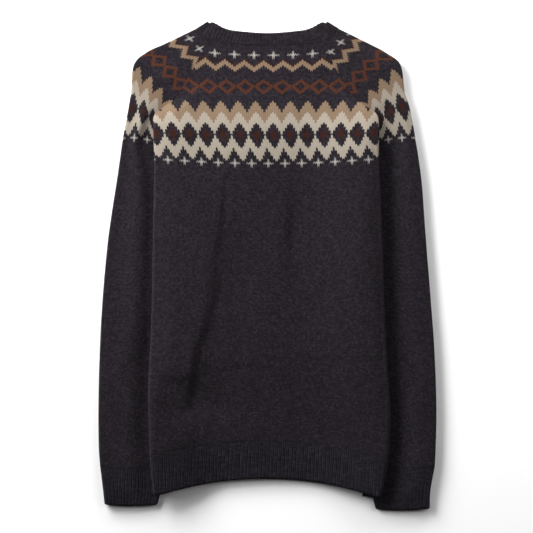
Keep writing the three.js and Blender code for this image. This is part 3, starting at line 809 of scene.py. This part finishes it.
def cuff(name, rows):
    row = standing(rows_at(rows, np.linspace(0, 2, RIB_STEPS + 1)))
    upper = np.linspace(0, 1, CUFF_RIBS * RIB_COLUMNS + 1)
    place, face, along, bare = sleeve_section(row, row, upper, True, [])
    ribs = along / along[:, -1:] * round(float(along[0, -1]) / RIB_PITCH)
    course = np.linspace(0, CUFF_COURSES, RIB_STEPS + 1)[:, None] + 0 * along
    raised = ribbed(ribs[:, :-1]) * bare * rib_growth(RIB_STEPS + 1)
    grid = {"place": place, "face": face, "knit": np.stack([ribs, course], -1)}
    left = rows["outer_x"][0] < 0
    return shell(name, grid, closed=True, raised=raised, turned=left, free_end=True)


def neckband():
    def line(half, columns):
        signs = {name: -1 if name.endswith("_x") else 1 for name in half}
        mirrored = {name: values[-2::-1] * signs[name] for name, values in half.items()}
        whole = joined(half, mirrored)
        dense = rows_at(whole, np.linspace(0, len(whole["seam_x"]) - 1, NECK_PLACES))
        x, y = dense["seam_x"] + dense["edge_x"], dense["seam_y"] + dense["edge_y"]
        along = np.concatenate([[0], np.cumsum(np.hypot(np.diff(x), np.diff(y)))])
        even = np.linspace(0, along[-1], columns + 1)
        return {name: np.interp(even, along, values) for name, values in dense.items()}

    def worn(row):
        """The free edge drawn in round its two corners, so that they aren't sharp."""
        near = np.hypot(np.abs(row["edge_x"]) - HORN[0], row["edge_y"] - HORN[1]) / HORN_REACH
        share = HORN_LOSS * np.exp(-(near**2))
        row["edge_x"] = mix(row["edge_x"], row["seam_x"], share)
        row["edge_y"] = mix(row["edge_y"], row["seam_y"], share)
        return row

    back = worn(line(NECK_BACK, NECK_RIBS * RIB_COLUMNS))
    front = worn(line(NECK_FRONT, NECK_RIBS * RIB_COLUMNS))
    front = {name: values[::-1] for name, values in front.items()}
    v = np.linspace(0, 1, RIB_STEPS + 1)[:, None]

    rib_places = np.linspace(0, NECK_RIBS, NECK_RIBS * RIB_COLUMNS + 1)
    scallop = SCALLOP * (np.abs(np.cos(math.pi * rib_places)) - 0.5) / BAND_DEPTH * v**SCALLOP_POWER

    def between(row):
        reach = v + scallop
        x = mix(row["seam_x"][None, :], row["edge_x"][None, :], reach)
        return x, mix(row["seam_y"][None, :], row["edge_y"][None, :], reach)

    back_x, back_y = between(back)
    corner_x, corner_y = back_x[:, :1], back_y[:, :1]
    fold = unit(back["edge_x"][0] - back["seam_x"][0], back["edge_y"][0] - back["seam_y"][0])
    parts = []
    for (x, y), height, up in (((back_x, back_y), UPPER, 1), (between(front), LOWER, -1)):
        near = np.hypot(np.abs(x) - np.abs(corner_x), y - corner_y) / NECK_FOLD_RUN
        pull = -FOLD_REACH * np.maximum(0, 1 - near)
        sign = np.sign(x)
        place = np.stack([x + pull * sign * fold[1], y + pull * fold[0], height + 0 * x], -1)
        face = np.zeros_like(place)
        face[..., 2] = up
        parts.append((place, face, np.full(x.shape, up > 0)))
    for sign, order in ((1, 1), (-1, -1)):
        out_x, out_y = sign * fold[1] + 0 * v, fold[0] + 0 * v
        at_x = np.abs(corner_x) * sign - out_x * FOLD_REACH
        at_y = corner_y - out_y * FOLD_REACH
        place, face = fold_points(at_x, at_y, out_x, out_y, FOLD_COLUMNS)
        place, face = place[:, ::order], face[:, ::order]
        parts.insert(1 if sign > 0 else 3, (place, face, np.maximum(face[..., 2], 0)))
    place, face, top = (np.concatenate(three, 1) for three in zip(*parts, strict=True))
    along = running(place, closed=True)
    rest = along[0, len(rib_places) :] - along[0, len(rib_places) - 1]
    below = NECK_RIBS + rest / rest[-1] * round(float(rest[-1]) / RIB_PITCH)
    ribs = np.concatenate([rib_places, below])
    ribs = np.broadcast_to(ribs[None, :], along.shape)
    course = NECK_COURSES * v + 0 * along
    grid = {"place": place, "face": face, "knit": np.stack([ribs, course], -1)}
    raised = ribbed(ribs[:, :-1], BAND_RIB_HEIGHT) * top * rib_growth(RIB_STEPS + 1)
    return shell("jumper_neckband", grid, closed=True, raised=raised, turned=True, free_end=True)


class Term:
    """A number in a material; sums, products and comparisons of terms add math nodes."""

    def __init__(self, tree, socket):
        self.tree = tree
        self.socket = socket

    def made(self, operation, *others):
        node = self.tree.nodes.new("ShaderNodeMath")
        node.operation = operation
        for socket, value in zip(node.inputs, (self, *others), strict=False):
            if isinstance(value, Term):
                self.tree.links.new(value.socket, socket)
            else:
                socket.default_value = value
        return Term(self.tree, node.outputs[0])

    def __add__(self, other):
        return self.made("ADD", other)

    def __sub__(self, other):
        return self.made("SUBTRACT", other)

    def __mul__(self, other):
        return self.made("MULTIPLY", other)

    def __truediv__(self, other):
        return self.made("DIVIDE", other)

    def __lt__(self, other):
        return self.made("LESS_THAN", other)

    def __gt__(self, other):
        return self.made("GREATER_THAN", other)

    def floor(self):
        return self.made("FLOOR")

    def size(self):
        return self.made("ABSOLUTE")

    def least(self, other):
        return self.made("MINIMUM", other)

    def most(self, other):
        return self.made("MAXIMUM", other)

    def within(self, other, margin=0.5):
        """1 where two terms are as good as equal."""
        return self.made("COMPARE", other, margin)


class Cloth:
    """A material under construction: its nodes and the knitting's coordinates."""

    def __init__(self, name):
        self.material = bpy.data.materials.new(name)
        self.material.use_nodes = True
        self.tree = self.material.node_tree
        self.shader = self.tree.nodes["Principled BSDF"]
        mapped = self.node("ShaderNodeUVMap")
        mapped.uv_map = "knitting"
        self.place = mapped.outputs[0]
        split = self.node("ShaderNodeSeparateXYZ")
        self.link(self.place, split.inputs[0])
        self.wale = Term(self.tree, split.outputs[0])
        self.course = Term(self.tree, split.outputs[1])

    def node(self, kind):
        return self.tree.nodes.new(kind)

    def link(self, start, end):
        self.tree.links.new(start, end)

    def spot(self, x, y):
        """A place in a texture from two terms."""
        joined_xyz = self.node("ShaderNodeCombineXYZ")
        self.link(x.socket, joined_xyz.inputs[0])
        self.link(y.socket, joined_xyz.inputs[1])
        return joined_xyz.outputs[0]

    def chance(self, x, y, which=0):
        """A random number from 0 to 1 for each whole pair of terms."""
        white = self.node("ShaderNodeTexWhiteNoise")
        white.noise_dimensions = "3D"
        shifted = x + which * 131.7
        self.link(self.spot(shifted, y), white.inputs["Vector"])
        return Term(self.tree, white.outputs["Value"])

    def noise(self, x, y, detail=2.0):
        texture = self.node("ShaderNodeTexNoise")
        texture.inputs["Scale"].default_value = 1
        texture.inputs["Detail"].default_value = detail
        self.link(self.spot(x, y), texture.inputs["Vector"])
        return Term(self.tree, texture.outputs["Fac"])

    def mixed(self, share, first, second):
        """A colour between two, each a colour or the output of a node."""
        node = self.node("ShaderNodeMix")
        node.data_type = "RGBA"
        self.link(share.socket, node.inputs[0])
        for socket, value in ((node.inputs[6], first), (node.inputs[7], second)):
            if isinstance(value, tuple):
                socket.default_value = (*value, 1)
            else:
                self.link(value, socket)
        return node.outputs[2]

    def shaded(self, colour, factor):
        """A colour made lighter or darker by a term."""
        node = self.node("ShaderNodeVectorMath")
        node.operation = "SCALE"
        self.link(colour, node.inputs[0])
        self.link(factor.socket, node.inputs[3])
        return node.outputs[0]

    def finish(self, colour, height, bump):
        """The finished material: matt wool, raised by its stitches and a little by its fuzz."""
        fuzz = self.noise(self.wale * FUZZ_FINENESS, self.course * FUZZ_FINENESS, 3)
        height = height + fuzz * FUZZ_HEIGHT
        self.link(colour, self.shader.inputs["Base Color"])
        node = self.node("ShaderNodeBump")
        node.inputs["Strength"].default_value = 1
        node.inputs["Distance"].default_value = bump * MM
        self.link(height.socket, node.inputs["Height"])
        self.link(node.outputs[0], self.shader.inputs["Normal"])
        for socket, value in WOOL_SURFACE.items():
            self.shader.inputs[socket].default_value = value
        return self.material


def linear(*srgb):
    """A colour in the material's linear numbers, from screen values out of 255."""
    return tuple(((v / 255 + 0.055) / 1.055) ** 2.4 if v > 10 else v / 255 / 12.92 for v in srgb)


CHARCOAL = linear(22, 17, 23)
HEATHER = linear(48, 42, 50)
CREAM = linear(165, 155, 141)
TAN = linear(134, 112, 91)
RUST = linear(80, 43, 26)
RED_BROWN = linear(53, 22, 14)
CROSS = linear(176, 170, 164)
# The ribs and the neckband are the body's yarn in darker copies: painted shade.
SHADED_RIB_CHARCOAL = linear(19, 15, 21)
SHADED_RIB_FLECK = linear(41, 37, 44)
SHADED_BAND_CHARCOAL = linear(20, 16, 21)
SHADED_BAND_FLECK = linear(44, 39, 45)
WOOL_SURFACE = {
    "Roughness": 0.95,
    "Specular IOR Level": 0.08,
    "Sheen Weight": 0.03,
    "Sheen Roughness": 0.6,
}
FUZZ_FINENESS = 9  # for each stitch
FUZZ_HEIGHT = 0.6  # as a share of a stitch's height
KNIT_BUMP = 0.9  # in millimetres
RIB_BUMP = 0.7
SLANT = 0.9  # how far down a stitch's two legs reach, in courses
BEAD = 0.6  # how far the yarn dips where one stitch passes into the next

# The wool's unevenness: how fine over the wales and over the courses, in what detail and how
# strong. The first is its fibres, the second its patches and the last the streaks of its rows.
UNEVENNESS = (
    (3, 3, 3, 1.7),
    (0.8, 0.9, 3, 1.9),
    (0.3, 1.2, 2, 1.2),
)
LIGHT_SHARE = 0.3  # of the lighter shade in the wool
STITCH_SPREAD = 0.7  # how much that differs from stitch to stitch
FLECKED = 0.9  # the share of the stitches without a light fleck
FLECK_STRENGTH = 0.5
TINT_FINENESS = 2.3
TINT_SPREAD = 0.7
TINT_MIDDLE = 0.98

# The chart. Its repeat is 8 wales wide, and rows are counted down from the diamonds' middle.
REPEAT = 8
DIAMOND_REACH = 7
CREAM_ROWS = 7
TAN_ROWS = 7
SMALL_CROSS_ROW = 16
CHAIN_ROW = -30
ZIGZAG_ROW = -41
TOP_CROSS_ROW = -50
CROSS_FADE = 0.3  # how much fainter a cross gets with each stitch


def stitches(cloth):
    """The stitch under a point: its column, its row and the height of its yarn."""
    column = (cloth.wale + 0.5).floor()
    over = ((cloth.wale + 0.5 - column) * 2 - 1).size()
    down = cloth.course + over * -SLANT + SLANT / 2
    row = (down + 0.5).floor()
    along = down + 0.5 - row
    leg = (over - 0.5) * 2
    ridge = leg * leg * -1 + 1
    bead = (along * 2 - 1).size()
    height = ridge.most(0) * (bead * bead * bead * -BEAD + 1)
    return column, row, height


def wool(cloth, column, row, base, fleck):
    """Heathered yarn: fibres of two shades, twisted unevenly, and lighter where they catch."""
    mottle = (cloth.chance(column, row) - 0.5) * STITCH_SPREAD + LIGHT_SHARE
    for wales, courses, detail, strength in UNEVENNESS:
        uneven = cloth.noise(cloth.wale * wales, cloth.course * courses, detail)
        mottle = mottle + (uneven - 0.5) * strength
    flecks = (cloth.chance(column, row, 1) > FLECKED) * cloth.chance(column, row, 2)
    return cloth.mixed((mottle.most(0) + flecks * FLECK_STRENGTH).least(1), base, fleck)


def painted_furrow_shade(cloth, colour, height, shade_relief, furrow_shade):
    """A colour a little mottled, and darkened with painted shade in the furrows between stitches, by the
    yarn's height.
    """
    fine = TINT_FINENESS
    tint = (cloth.noise(cloth.wale * fine, cloth.course * fine, 3) - 0.5) * TINT_SPREAD
    # painted shade: the lower the yarn, the darker its colour
    return cloth.shaded(colour, (tint + TINT_MIDDLE) * (height * shade_relief + furrow_shade))


def plus(row, across):
    """A small plus round a middle stitch, which fades towards its four ends."""
    upright = (row.size() < 2.5) * (across < 0.5)
    arms = (row.size() < 0.5) * (across < 2.5)
    faded = upright * (row.size() * -CROSS_FADE + 1) + arms * (across * -CROSS_FADE + 1)
    return faded.least(1)


def in_range(value, low, high):
    return (value > low) * (value < high)


def knit_material(name):
    """Plain knitting with the yoke's pattern, each stitch of it in one colour."""
    cloth = Cloth(name)
    column, row, height = stitches(cloth)
    colour = wool(cloth, column, row, CHARCOAL, HEATHER)
    # Columns away from the middle of a diamond, from 0 to 4, and from the middle between two
    shifted = column + REPEAT / 2
    apart = (shifted - (shifted / REPEAT).floor() * REPEAT - REPEAT / 2).size()
    other = apart * -1 + REPEAT / 2
    # Rows past the edge of a diamond, between whole rows
    beyond = row.size() - (apart * -2 + REPEAT).least(DIAMOND_REACH) - 0.5
    chain_reach = (row - CHAIN_ROW).size() + other
    along_zigzag = row + apart - ZIGZAG_ROW
    cream = in_range(beyond, 0, CREAM_ROWS)
    tan = in_range(beyond, CREAM_ROWS, CREAM_ROWS + TAN_ROWS) * (row < 0)
    zigzag = along_zigzag.size() < 1.5
    centre = (row.size() + apart * 2 < 3.5) * (apart < 1.5)
    crosses = plus(row - SMALL_CROSS_ROW, other) + plus(row - TOP_CROSS_ROW, apart)
    for share, yarn in (
        (cream, CREAM),
        (tan + zigzag, TAN),
        (centre + along_zigzag.within(-2), RED_BROWN),
        (in_range(chain_reach, 2.5, 4.5), RUST),
        (crosses, CROSS),
    ):
        colour = cloth.mixed(share.least(1), colour, yarn)
    # Painted shade darkens the furrows between stitches.
    return cloth.finish(painted_furrow_shade(cloth, colour, height, 0.35, 0.68), height, KNIT_BUMP)


def rib_material(name, base, fleck):
    """Plain heathered knitting, over walls whose ribs are raised."""
    cloth = Cloth(name)
    column, row, height = stitches(cloth)
    colour = wool(cloth, column, row, base, fleck)
    # Painted shade darkens the furrows between stitches.
    return cloth.finish(painted_furrow_shade(cloth, colour, height, 0.3, 0.72), height, RIB_BUMP)


KNIT = knit_material("fair_isle_knit")
# Their yarn colours are darker copies of the body's yarn, with painted shade.
RIB = rib_material("charcoal_rib", SHADED_RIB_CHARCOAL, SHADED_RIB_FLECK)
BAND_RIB = rib_material("neckband_rib", SHADED_BAND_CHARCOAL, SHADED_BAND_FLECK)


def dressed(piece, material):
    """Gives a piece its material and its place in the frame, and hides the part's node of the same name."""
    node = piece.name.removeprefix("jumper_")
    piece.data.materials.append(material)
    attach(piece, "root")
    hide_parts(node)


def front_hem_rows():
    """The hem's rows for the front, which ends a little higher."""
    rows = {name: values.copy() for name, values in HEM_ROWS.items()}
    for name in ("middle", "left_y", "right_y"):
        rows[name][-1] += FRONT_HEM_SHORT
    return rows


def jumper():
    """The nine pieces, each in place of the part's node of the same name."""
    dressed(back_panel(), KNIT)
    dressed(back_hem(), RIB)
    dressed(front_panel("jumper_front", FRONT_ROWS, 6, 80), KNIT)
    front_hem = front_panel("jumper_front_hem", front_hem_rows(), 12, 120, ribs=True)
    dressed(front_hem, RIB)
    left = sleeve("jumper_sleeve_left", LEFT_SLEEVE, LEFT_RAGLAN, LEFT_SLEEVE_CREASES)
    dressed(left, KNIT)
    right = sleeve("jumper_sleeve_right", RIGHT_SLEEVE, RIGHT_RAGLAN, RIGHT_SLEEVE_CREASES)
    dressed(right, KNIT)
    dressed(cuff("jumper_cuff_left", LEFT_CUFF), RIB)
    dressed(cuff("jumper_cuff_right", RIGHT_CUFF), RIB)
    dressed(neckband(), BAND_RIB)


# The light, in metres, watts and degrees
SUN_FROM = (-1, 0.45, 0.64)
SUN_STRENGTH = 1.3
SUN_ANGLE = 26
# The soft boxes: place, width, height and power
BOXES = {
    "upper_left_box": ((-1.4, 1.3, 0.85), 1.2, 0.9, 84),
    "top_box": ((0, 1.5, 0.5), 2.4, 0.5, 36),
    "right_box": ((1.6, 0.3, 1.2), 1.0, 1.6, 16),
}


FLOOR_REACH = 4
FLOOR_GAP = 0.0006  # so that it doesn't meet the cloth
FLOOR_WHITE = 0.9


def floor():
    """A plain pale surface."""
    mesh = bpy.data.meshes.new("floor")
    ends = (-FLOOR_REACH, FLOOR_REACH)
    corners = [(x, y, 0) for y in ends for x in ends]
    mesh.from_pydata(corners, [], [(0, 1, 3, 2)])
    made = placed("floor", mesh)
    made.location.z = -FLOOR_GAP
    material = bpy.data.materials.new("pale_floor")
    material.use_nodes = True
    shader = material.node_tree.nodes["Principled BSDF"]
    shader.inputs["Base Color"].default_value = (*[FLOOR_WHITE] * 3, 1)
    shader.inputs["Roughness"].default_value = 0.9
    shader.inputs["Specular IOR Level"].default_value = 0.1
    mesh.materials.append(material)


def facing_middle(place):
    """The turn of a light that shines from a place to the middle of the jumper."""
    return Vector(place).to_track_quat("Z", "Y").to_euler()


def area_light(name, place, width, height, energy):
    """A soft box at a place, turned to the middle of the jumper."""
    data = bpy.data.lights.new(name, "AREA")
    data.shape = "RECTANGLE"
    data.size = width
    data.size_y = height
    data.energy = energy
    made = placed(name, data)
    made.location = place
    made.rotation_euler = facing_middle(place)


def lights():
    """A broad light from the left, and soft boxes at the upper left, above and on the right."""
    sun = bpy.data.lights.new("sun", "SUN")
    sun.energy = SUN_STRENGTH
    sun.angle = math.radians(SUN_ANGLE)
    placed("sun", sun).rotation_euler = facing_middle(SUN_FROM)
    for name, (place, width, height, power) in BOXES.items():
        area_light(name, place, width, height, power)
    world = bpy.data.worlds.new("dark_room")
    bpy.context.scene.world = world
    world.use_nodes = True
    world.node_tree.nodes["Background"].inputs[1].default_value = 0


def camera():
    """A camera straight above, which frames the jumper as the photograph does."""
    distance = 3.0
    view_width = 0.7995
    centre_x = -0.0014
    data = bpy.data.cameras.new("camera")
    data.sensor_width = 36
    data.lens = data.sensor_width * distance / view_width
    made = placed("camera", data)
    made.location = (centre_x, 0, distance)
    bpy.context.scene.camera = made


floor()
jumper()
lights()
camera()
bpy.context.scene.view_settings.view_transform = "Standard"
